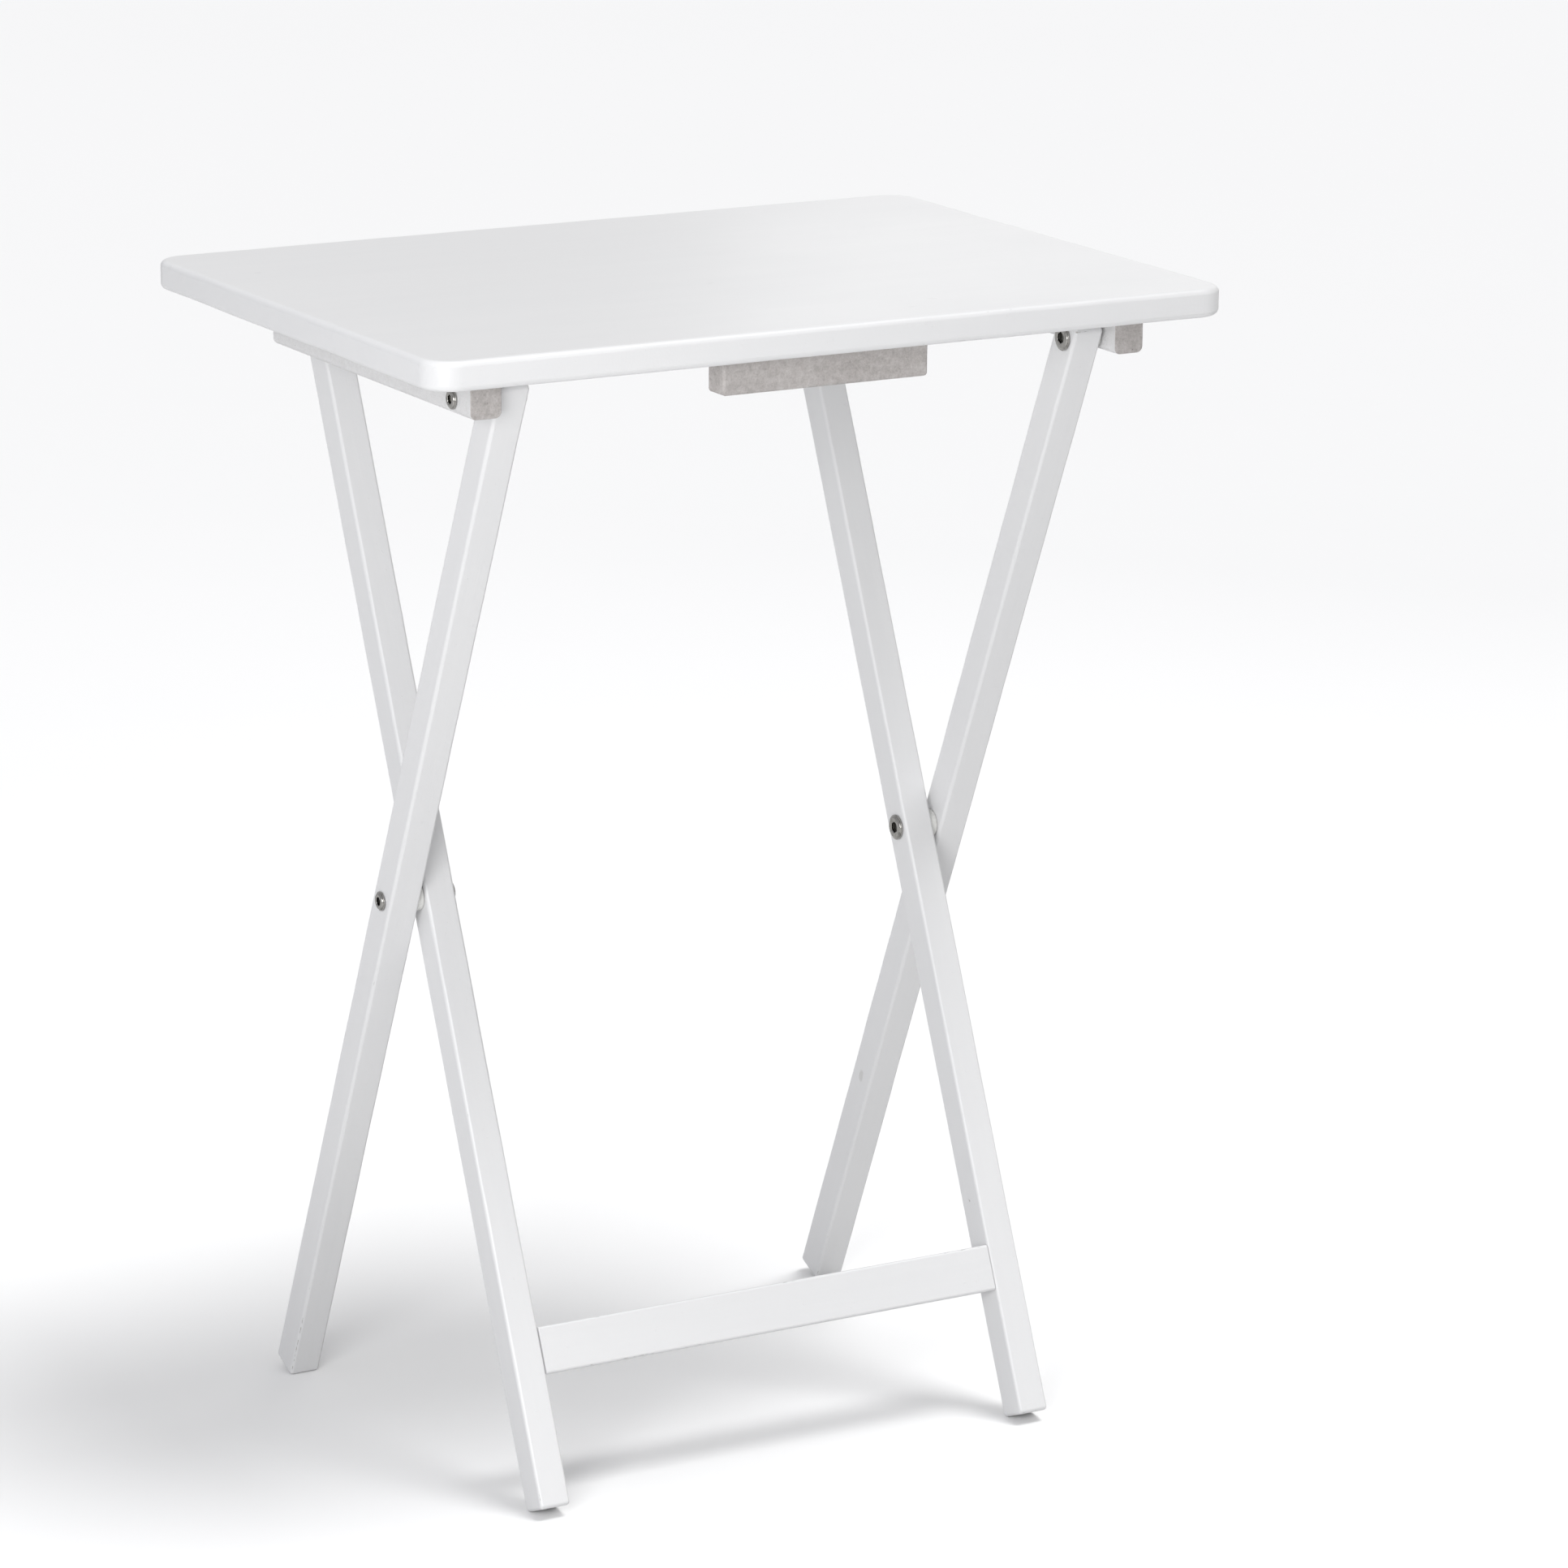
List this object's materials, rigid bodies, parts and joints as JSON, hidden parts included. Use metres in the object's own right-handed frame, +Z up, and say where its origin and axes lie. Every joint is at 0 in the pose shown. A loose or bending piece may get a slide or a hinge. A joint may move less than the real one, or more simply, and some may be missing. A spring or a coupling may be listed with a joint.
{
  "type": "folding tray table",
  "caption": "Small folding tray table: a rounded rectangular top on two wooden leg frames that cross like scissors and fold flat.",
  "frame": {"origin": "on the floor under the middle of the top", "axes": "+Z up, +X along the top's long side, -Y towards the front long edge, under which the cleats carry the upper bolts"},
  "size_m": [0.48, 0.35, 0.65],
  "materials": {
    "white_paint": "satin white paint",
    "primed_wood": "thin matt white primer through which the wood shows",
    "bare_wood": "bare, glued in",
    "polished_steel": "polished nickel plate",
    "zinc_screw": "bright zinc",
    "pale_plastic": "moulded satin"
  },
  "bodies": {
    "outer_frame": {"outer_leg_left": "white_paint", "outer_leg_right": "white_paint", "middle_left_bolt": "polished_steel", "middle_right_bolt": "polished_steel", "middle_left_sleeve_nut": "polished_steel", "middle_right_sleeve_nut": "polished_steel", "middle_left_spacer": "pale_plastic", "middle_right_spacer": "pale_plastic"},
    "inner_frame": {"inner_leg_left": "white_paint", "inner_leg_right": "white_paint", "lower_stretcher": "white_paint", "upper_crossbar": "white_paint", "stretcher_dowel_left_1": "bare_wood", "stretcher_dowel_left_2": "bare_wood", "stretcher_dowel_right_1": "bare_wood", "stretcher_dowel_right_2": "bare_wood"},
    "tray": {"table_top": "white_paint", "left_cleat": "primed_wood", "right_cleat": "primed_wood", "front_block": "primed_wood", "rear_catch": "primed_wood", "left_cleat_screw_1": "zinc_screw", "left_cleat_screw_2": "zinc_screw", "left_cleat_screw_3": "zinc_screw", "right_cleat_screw_1": "zinc_screw", "right_cleat_screw_2": "zinc_screw", "right_cleat_screw_3": "zinc_screw", "front_block_screw_left": "zinc_screw", "front_block_screw_right": "zinc_screw", "rear_catch_screw_left": "zinc_screw", "rear_catch_screw_right": "zinc_screw", "upper_left_bolt": "polished_steel", "upper_right_bolt": "polished_steel", "upper_left_sleeve_nut": "polished_steel", "upper_right_sleeve_nut": "polished_steel", "upper_left_washer": "pale_plastic", "upper_right_washer": "pale_plastic"}
  },
  "joints": [
    {"name": "leg_fold", "type": "hinge", "parent": "outer_frame", "child": "inner_frame", "pos_m": [0, 0.008, 0.316], "axis": [1, 0, 0], "range_deg": [0, 46.9]},
    {"name": "top_tilt", "type": "hinge", "parent": "outer_frame", "child": "tray", "pos_m": [0, -0.124, 0.62], "axis": [1, 0, 0], "range_deg": [0, 23.45]}
  ],
  "couplings": [
    {"joint": "top_tilt", "follows": "leg_fold", "ratio": 0.5}
  ]
}
